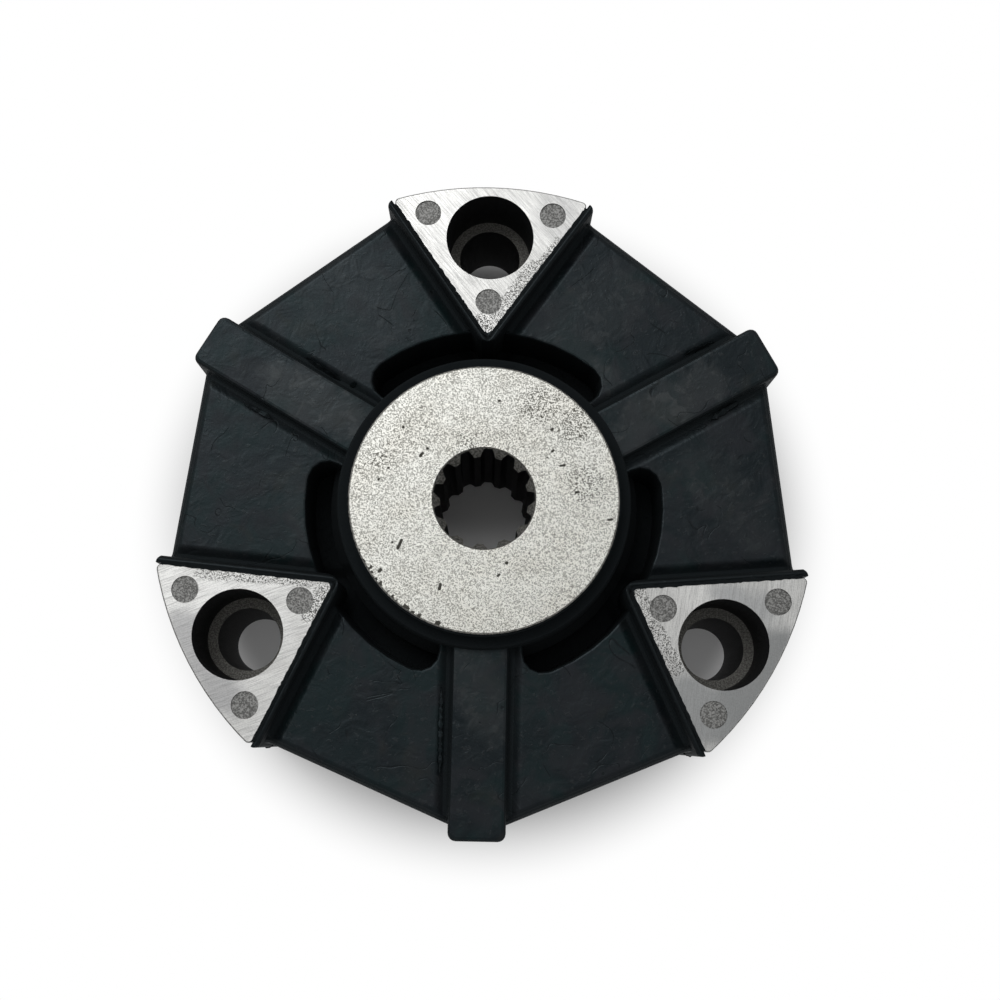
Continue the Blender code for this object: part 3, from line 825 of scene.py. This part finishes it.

# %% [markdown]
# ### Places on the rubber
# The webs are painted darker, as shade, in a gutter beside each rib and each lip, and again at
# their outer edge. The lips are rounded and glossier, and painted darker as shade; the collar round
# the hub is dull like charcoal; and the deep moats and the outer walls are painted a dead black as
# shade. Each of these is a mask.

# %% Places on the rubber
gutter_span = (3.4 * mm, 0.3 * mm)  # from a rib's foot: where a gutter starts, and is darkest
rim_span = (2.6 * mm, 0.2 * mm)     # the same from a web's outer edge
steepest_top = 0.88                 # what looks up or down less than this is a wall


def rubber_places(tree, position, height, distance, up):
    low_web = cad_box[0][2] + insert_face - web_face
    rib_foot, lip_side, rim_distance = edge_distances(tree, position)
    on_web = both(tree, over(tree, web_face + 1.2 * mm, height), over(tree, up, 0.3))
    foot = calc(tree, "MINIMUM", rib_foot, calc(tree, "SUBTRACT", lip_side, lip_width))
    # Gutters and rims are dips in the relief, and the colour gets painted shade there too.
    gutter = both(tree, span(tree, foot, *gutter_span), on_web)
    rim = both(tree, span(tree, rim_distance, *rim_span), on_web)
    lip = over(tree, height, rib_face + 0.4 * mm)
    dome = calc(tree, "ABSOLUTE", calc(tree, "SUBTRACT", lip_side, lip_width * 0.45))
    between_webs = both(tree, over(tree, web_face - 0.7 * mm, height),
                        over(tree, height, low_web + 0.7 * mm))
    moat = both(tree, between_webs, over(tree, moat_radius, distance))
    steep = calc(tree, "LESS_THAN", calc(tree, "ABSOLUTE", up), steepest_top)
    under_edge = both(tree, over(tree, web_face - 1.2 * mm, height), over(tree, up, 0.0))
    wall = either(tree, steep, both(tree, under_edge, over(tree, height, low_web)))
    collar = over(tree, collar_radius, distance)
    recess = either(tree, gutter, rim)
    # The gutters, rims and walls together are the mask of painted shade.
    return {"gutter": gutter, "rim": rim, "recess": recess, "lip": lip, "moat": moat, "wall": wall,
            "collar": collar, "matt": either(tree, collar, moat),
            "painted_shade": either(tree, recess, wall),
            "dome": both(tree, span(tree, dome, lip_width * 0.6, 0.0), lip)}


print("gutters are", round(gutter_span[0] / mm, 1), "mm wide")

# %% [markdown]
# ### Marks in the rubber's skin
# Mould release leaves cloudy stains and, where it dried, pale smears. Hot rubber leaves shallow
# wrinkles and flow lines, and there are scuffs, small pits and specks of grit. The smears were
# placed from the photograph; two broad faint patches on the upper webs among them are painted
# light. The rest is spread by noise, at the sizes seen there.

# %% Marks in the rubber
# Smears on the ribs and webs, and two broad patches of painted light on the upper webs, as
# (x, y, end x, y, reach, strength) in mm
smears_and_painted_light = [(36.0, 20.5, 50.0, 29.0, 3.0, 0.9), (-34.0, 20.0, -47.0, 27.0, 3.4, 1.0),
          (-3.0, -36.0, 2.5, -50.0, 2.4, 0.5), (20.0, 42.0, 30.0, 50.0, 6.0, 0.40),
          (-24.0, 46.0, -36.0, 50.0, 7.0, 0.30), (50.0, 10.0, 62.0, -4.0, 4.0, 0.35),
          (-28.0, 16.5, -33.0, 20.0, 1.6, 1.0), (31.0, 15.0, 36.0, 17.5, 1.6, 0.9),
          (24.5, 34.0, 29.5, 29.0, 0.9, 0.8), (-43.0, 4.0, -42.0, -8.0, 1.6, 0.5)]
smear_height = (web_face + 3 * rib_face) / 4


def rubber_marks(tree, position):
    def spread(effect_group, **values):
        return use(tree, effect_group, position, **values)

    cloudy = spread(grain, Size=3.0 * mm, Warp=0.5, Low=0.50, High=0.68)
    # The film mask gathers the real smears and the two broad patches of painted light on the upper
    # webs.
    film = 0.0
    for x, y, end_x, end_y, reach, strength in smears_and_painted_light:
        smear = spread(patch, Start=flat_place(x, y, smear_height),
                       End=flat_place(end_x, end_y, smear_height), Reach=reach * mm,
                       Blur=4 * mm, Ragged=2.2 * mm, Size=4 * mm)
        film = either(tree, film, calc(tree, "MULTIPLY", smear, strength))
    pit = spread(pits, Spacing=4.6 * mm, Radius=0.075, Share=0.35)
    lines = spread(flow_lines, Size=14 * mm, Width=0.010, Low=0.52, High=0.58)
    return {"stain": spread(grain, Size=24 * mm, Warp=1.0, Low=0.44, High=0.58),
            "haze": spread(grain, Size=10 * mm, Warp=1.0, Low=0.44, High=0.66),
            "dusty": spread(grain, Size=12 * mm, Warp=0.6, Low=0.60, High=0.72),
            "lumps": spread(grain, Size=6 * mm, Warp=0.8, Low=0.30, High=0.70),
            "scuff": spread(grain, Size=1.3 * mm, Warp=0.4, Low=0.60, High=0.68),
            "fine": spread(grain, Size=0.55 * mm, Low=0.40, High=0.66),
            "grit": spread(pits, Spacing=2.3 * mm, Radius=0.06, Share=0.22),
            "cloudy": cloudy, "film": both(tree, film, level(tree, cloudy, 0.45, 1.0)),
            "cut": either(tree, pit, lines)}


print(len(smears_and_painted_light), "smears on the rubber")

# %% [markdown]
# ### The rubber's finish
# With all its masks at hand, the finish is three short tables: layers of colour from the lowest to
# the topmost, places with a roughness of their own, and the heights of the marks. Broad forms and
# fine marks are two bumps, one on the other, because their heights differ twentyfold.

# %% Rubber finish
plain_black, stained_black = (0.0016, 0.0034, 0.0046), (0.0012, 0.0075, 0.0078)
rubber_layers = [
    ("haze", 0.75, (0.0110, 0.0098, 0.0120)), ("cloudy", 0.45, (0.0100, 0.0120, 0.0130)),
    ("dusty", 0.5, (0.0130, 0.0125, 0.0090)), ("scuff", 0.45, (0.0220, 0.0230, 0.0235)),
    # next line, first entry: real smears, and two broad patches of painted light on the upper webs
    ("film", 1.0, (0.0420, 0.0440, 0.0440)), ("grit", 0.5, (0.0700, 0.0720, 0.0700)),
    # next line, second entry: painted shade in the gutters, at the webs' outer edges and on the
    # walls
    ("cut", 1.0, (0.0008, 0.0008, 0.0010)), ("painted_shade", 1.0, (0.0004, 0.0010, 0.0013)),
    # next line: the collar's dull tone, then painted shade on the lips' sloped tops
    ("collar", 1.0, (0.0030, 0.0040, 0.0042)), ("lip", 1.0, (0.0004, 0.0007, 0.0009)),
    # painted shade in the deep moats
    ("moat", 1.0, (0.0012, 0.0012, 0.0012))]
rubber_roughness = [("recess", 0.75), ("lip", 0.40), ("wall", 0.75), ("matt", 0.8)]
form_heights = [("lumps", 0.07), ("dome", 0.8), ("gutter", -1.1), ("rim", -0.9)]
mark_heights = [("cloudy", 0.25), ("fine", 0.12), ("scuff", 0.4), ("cut", -1.0), ("grit", 0.6)]


def added(tree, masks, shares, start=0.0):
    """Sum of masks, each with its share."""
    for name, share in shares:
        start = calc(tree, "ADD", start, calc(tree, "MULTIPLY", masks[name], share))
    return start


def finish_rubber():
    material = new_material("rubber")
    tree = material.node_tree
    sockets = tree.nodes["Principled BSDF"].inputs
    sockets["Specular IOR Level"].default_value = 0.30
    sockets["Specular Tint"].default_value = (0.76, 0.92, 1.0, 1)
    position, height, distance, up = places(tree)
    masks = rubber_places(tree, position, height, distance, up) | rubber_marks(tree, position)

    colour = tint(tree, masks["stain"], plain_black, stained_black)
    feed(tree, sockets["Base Color"], layered(tree, masks, colour, rubber_layers))
    rough = level(tree, masks["stain"], 0.31, 0.38)
    rough = added(tree, masks, [("haze", 0.10), ("fine", 0.06)], rough)
    for name, value in rubber_roughness:
        rough = level(tree, masks[name], rough, value)
    feed(tree, sockets["Roughness"], rough)
    form = raised(tree, added(tree, masks, form_heights), 1.0 * mm)
    feed(tree, sockets["Normal"],
         raised(tree, added(tree, masks, mark_heights), 0.05 * mm, form))
    return material


rubber = finish_rubber()
give("rubber_body", rubber)
print("rubber finished with", len(rubber_layers), "layers of colour")

# %% [markdown]
# ## Helpers for thin rubber flash
# Hot rubber creeps into every joint of its mould and cures there as a thin ragged skin, the flash.
# Each piece of it starts as an open skin: a loop taken from the frame's own surfaces and extruded,
# or a plain circle or grid laid on them. Made ragged and then given a thickness, it sits on what
# carries it. The skin's faces are turned the same way before the thickness, not after, because on
# a closed shell that can turn the whole piece inside out. Its volume shows whether it came out
# right.

# %% Flash helpers
flash_seed = 7
weld_distance = 0.001 * mm


def merged_copy(node_name):
    """Mesh of a frame node with its loose triangles joined."""
    mesh = bmesh.new()
    mesh.from_mesh(bpy.data.objects[node_name].data)
    bmesh.ops.remove_doubles(mesh, verts=mesh.verts, dist=weld_distance)
    mesh.normal_update()
    return mesh


def section(mesh, height, keep):
    """Leaves only the section at a height, where keep(place) holds. Each vertex keeps the
    direction in which the wall there looks, in the layer that is returned."""
    outward = mesh.verts.layers.float_vector.new("outward")
    everything = mesh.verts[:] + mesh.edges[:] + mesh.faces[:]
    cut = bmesh.ops.bisect_plane(mesh, geom=everything, dist=weld_distance,
                                 plane_co=(0, 0, height), plane_no=(0, 0, 1))["geom_cut"]
    kept = set()
    for part in cut:
        if isinstance(part, bmesh.types.BMEdge):
            if keep((part.verts[0].co + part.verts[1].co) / 2):
                kept.add(part)
        elif isinstance(part, bmesh.types.BMVert):
            looks = sum((face.normal for face in part.link_faces), Vector())
            looks.z = 0
            part[outward] = looks.normalized()
    bmesh.ops.delete(mesh, geom=mesh.faces[:], context="FACES_ONLY")
    bmesh.ops.delete(mesh, geom=[edge for edge in mesh.edges if edge not in kept], context="EDGES")
    bmesh.ops.delete(mesh, geom=[vert for vert in mesh.verts if not vert.link_edges],
                     context="VERTS")
    return outward


print("sections can be taken from the frame's meshes")

# %% Ribbons and thickness
def even_steps(mesh, step):
    """Divides long edges, so that a ragged border has points to move."""
    for cuts in (15, 7, 3, 1):
        long_edges = [edge for edge in mesh.edges if edge.calc_length() > step * (cuts + 0.5)]
        if long_edges:
            bmesh.ops.subdivide_edges(mesh, edges=long_edges, cuts=cuts)


def extruded(mesh):
    """Extrudes every edge, and gives the old and the new vertices."""
    old = mesh.verts[:]
    made = bmesh.ops.extrude_edge_only(mesh, edges=mesh.edges[:])["geom"]
    return old, [part for part in made if isinstance(part, bmesh.types.BMVert)]


def rubber_piece(name, mesh, thickness):
    """Object from an open skin that gets a thickness, in rubber, riding on the body."""
    bmesh.ops.recalc_face_normals(mesh, faces=mesh.faces)
    mesh.normal_update()
    bmesh.ops.solidify(mesh, geom=mesh.faces[:], thickness=thickness)
    if mesh.calc_volume(signed=True) < 0:
        bmesh.ops.reverse_faces(mesh, faces=mesh.faces)
    print(name, len(mesh.faces), "faces,", round(mesh.calc_volume() / mm ** 3, 2), "mm3")
    data = bpy.data.meshes.new(name)
    mesh.to_mesh(data)
    mesh.free()
    data.materials.append(rubber)
    piece = bpy.data.objects.new(name, data)
    bpy.context.scene.collection.objects.link(piece)
    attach(piece, "root")


print("helpers for flash are ready")

# %% [markdown]
# ## Parting fin
# The two halves of the mould met halfway up, and a fine fin of rubber runs round the outer walls
# there. It could be a bump in the material, but it breaks the outline from the side. So it is the
# body's own section at that height, pushed outwards by a varying few tenths of a millimetre.

# %% Parting fin
fin_height = (insert_face + cad_box[0][2]) / 2
fin_root = 0.25 * mm                # sunk into the wall
fin_reach = (0.10 * mm, 0.30 * mm)
fin_wander = 0.05 * mm              # up and down
fin_thickness = 0.14 * mm
inner_walls = 52 * mm               # closer to the axis than this are the walls of the moats
arm_pocket_half_width = 5.0 * mm    # of the pocket for an arm, inside a rib
seat_wall = 0.6 * mm                # closer to an insert's side than this is its seat
insert_turns = {"top": up_angle, "left": left_angle, "right": right_angle}


def side_distance(place, angle):
    """How far a place lies outside the straight sides of an insert."""
    along = Vector((math.cos(angle), math.sin(angle), 0))
    out, aside = place.dot(along), abs(place.dot(Vector((-along.y, along.x, 0))))
    if out < 0:
        return 1.0
    return aside * math.cos(insert_half_angle) - (out - insert_apex) * math.sin(insert_half_angle)


def on_outer_wall(place):
    beside_rib = min(abs(place.dot(Vector((-math.sin(turn), math.cos(turn), 0))))
                     for turn in insert_turns.values())
    if place.length < inner_walls or place.z > insert_face:
        return False
    if beside_rib < arm_pocket_half_width and place.xy.length < outer_radius - 1.5 * mm:
        return False
    return min(side_distance(place, turn) for turn in insert_turns.values()) > seat_wall


def make_parting_fin():
    mesh = merged_copy("rubber_body")
    outward = section(mesh, fin_height, on_outer_wall)
    even_steps(mesh, 0.9 * mm)
    inner, rim = extruded(mesh)
    rim = set(rim)
    chance = random.Random(flash_seed)
    for vert in mesh.verts:         # in the mesh's own order, so that each run draws the same
        if vert in rim:
            vert.co += vert[outward] * chance.uniform(*fin_reach)
            vert.co.z += chance.uniform(-fin_wander, fin_wander)
    for vert in inner:
        vert.co -= vert[outward] * fin_root
    rubber_piece("parting_fin", mesh, fin_thickness)


make_parting_fin()

# %% [markdown]
# ## Flash along the inserts
# Rubber crept a little over the two straight sides of each insert's front face. It closes the
# joint and gives the bright metal a ragged dark border. The ribbon starts from the insert's own
# section under its face, so it follows the sides and the rounded apex.

# %% Insert flash
flash_rise = 0.07 * mm              # over the inserts' faces
flash_droop = 0.03 * mm             # of its border on the rubber
flash_thickness = 0.06 * mm
flash_over_metal = (-0.05 * mm, 0.32 * mm)
flash_over_rubber = (0.5 * mm, 0.9 * mm)


def make_insert_flash(side, angle):
    def on_straight_side(place):
        return (abs(side_distance(place, angle)) < 0.35 * mm
                and place.xy.length < outer_radius - 1.2 * mm)

    mesh = merged_copy("bolt_insert_" + side)
    outward = section(mesh, insert_face - 0.6 * mm, on_straight_side)
    even_steps(mesh, 0.45 * mm)
    for vert in mesh.verts:
        vert.co.z = insert_face + flash_rise
    inner, rim = extruded(mesh)
    chance = random.Random(flash_seed + len(side))
    for vert in rim:
        vert.co += vert[outward] * chance.uniform(*flash_over_rubber)
        vert.co.z -= flash_droop
    creep = 0.0
    for vert in inner:
        creep = 0.6 * creep + 0.4 * chance.uniform(*flash_over_metal) * chance.choice((0.6, 1.6))
        vert.co -= vert[outward] * creep
    rubber_piece("flash_front_" + side, mesh, flash_thickness)


for side, angle in insert_turns.items():
    make_insert_flash(side, angle)

# %% [markdown]
# ## Film round the hub
# The hub stands 4 mm out of its collar. The photograph shows its wall black, because a film of
# rubber climbed it, with a torn upper border. It is a circle extruded upwards, with a ragged top,
# and as thick as the joint that it closes.

# %% Hub film
film_foot = insert_face - 0.4 * mm
film_top = (hub_face - 1.1 * mm, hub_face - 0.2 * mm)
film_steps = 360
film_thickness = -0.32 * mm         # outwards from the circle
film_radius = hub_rim_radius + 0.42 * mm    # clear of the rim's rounded edge


def make_hub_film():
    mesh = bmesh.new()
    bmesh.ops.create_circle(mesh, segments=film_steps, radius=film_radius)
    bmesh.ops.translate(mesh, verts=mesh.verts, vec=(0, 0, film_foot))
    _, top = extruded(mesh)
    chance = random.Random(flash_seed)
    rise = 0.0
    for vert in sorted(top, key=lambda vert: math.atan2(vert.co.y, vert.co.x)):
        rise = 0.7 * rise + 0.3 * chance.uniform(*film_top) if rise else film_top[1]
        vert.co.z = rise
    rubber_piece("hub_film", mesh, film_thickness)


make_hub_film()

# %% [markdown]
# ## Torn scraps beside the ribs
# Where the mould opened, strips of flash tore and lie beside the ribs. Each scrap is a grid,
# squeezed to a strip, laid along the rib's foot and roughened with noise. Their places were read
# off the photograph, along each rib's own direction.

# %% Torn scraps
# (rib angle, out, side, end out, end side, width) in degrees and mm
scraps = [(150, 53.5, -8.1, 43.7, -7.6, 1.0), (150, 41.3, -8.4, 40.0, -7.9, 1.2),
          (30, 55.5, -7.8, 63.5, -7.4, 0.9), (270, 41.7, -8.6, 61.5, -8.4, 0.8),
          (150, 60.0, 8.6, 52.0, 8.2, 0.7), (30, 58.0, 8.4, 66.0, 7.9, 0.6)]
scrap_step = 0.4 * mm
wave_length, tear_length = 1.1 * mm, 0.7 * mm
scrap_thickness = 0.14 * mm


def make_scrap(number, angle, out, side, end_out, end_side, width):
    turn = Matrix.Rotation(math.radians(angle), 4, "Z")
    start = turn @ Vector((out, side, 0)) * mm
    end = turn @ Vector((end_out, end_side, 0)) * mm
    length = (end - start).length
    mesh = bmesh.new()
    bmesh.ops.create_grid(mesh, x_segments=max(6, int(length / scrap_step)), y_segments=3, size=0.5)
    for vert in mesh.verts:         # a strip that waves over the web, with one side standing up
        along, across = vert.co.x, vert.co.y
        wave = noise.noise(Vector((along * length / wave_length, across, number * 3.7)))
        tear = noise.noise(Vector((along * length / tear_length, 9.0, number * 5.1)))
        taper = 1 - abs(2 * along) ** 4
        vert.co = Vector((along * length, across * width * mm * taper * (1 + 0.8 * tear),
                          (0.25 + 0.30 * wave + 0.5 * (across + 0.5) * taper) * mm))
    heading = (end - start).to_2d()
    place = Matrix.Translation((start + end) / 2 + Vector((0, 0, web_face)))
    bmesh.ops.transform(mesh, verts=mesh.verts,
                        matrix=place @ Matrix.Rotation(math.atan2(heading.y, heading.x), 4, "Z"))
    rubber_piece(f"torn_scrap_{number}", mesh, scrap_thickness)


for number, row in enumerate(scraps, 1):
    make_scrap(number, *row)
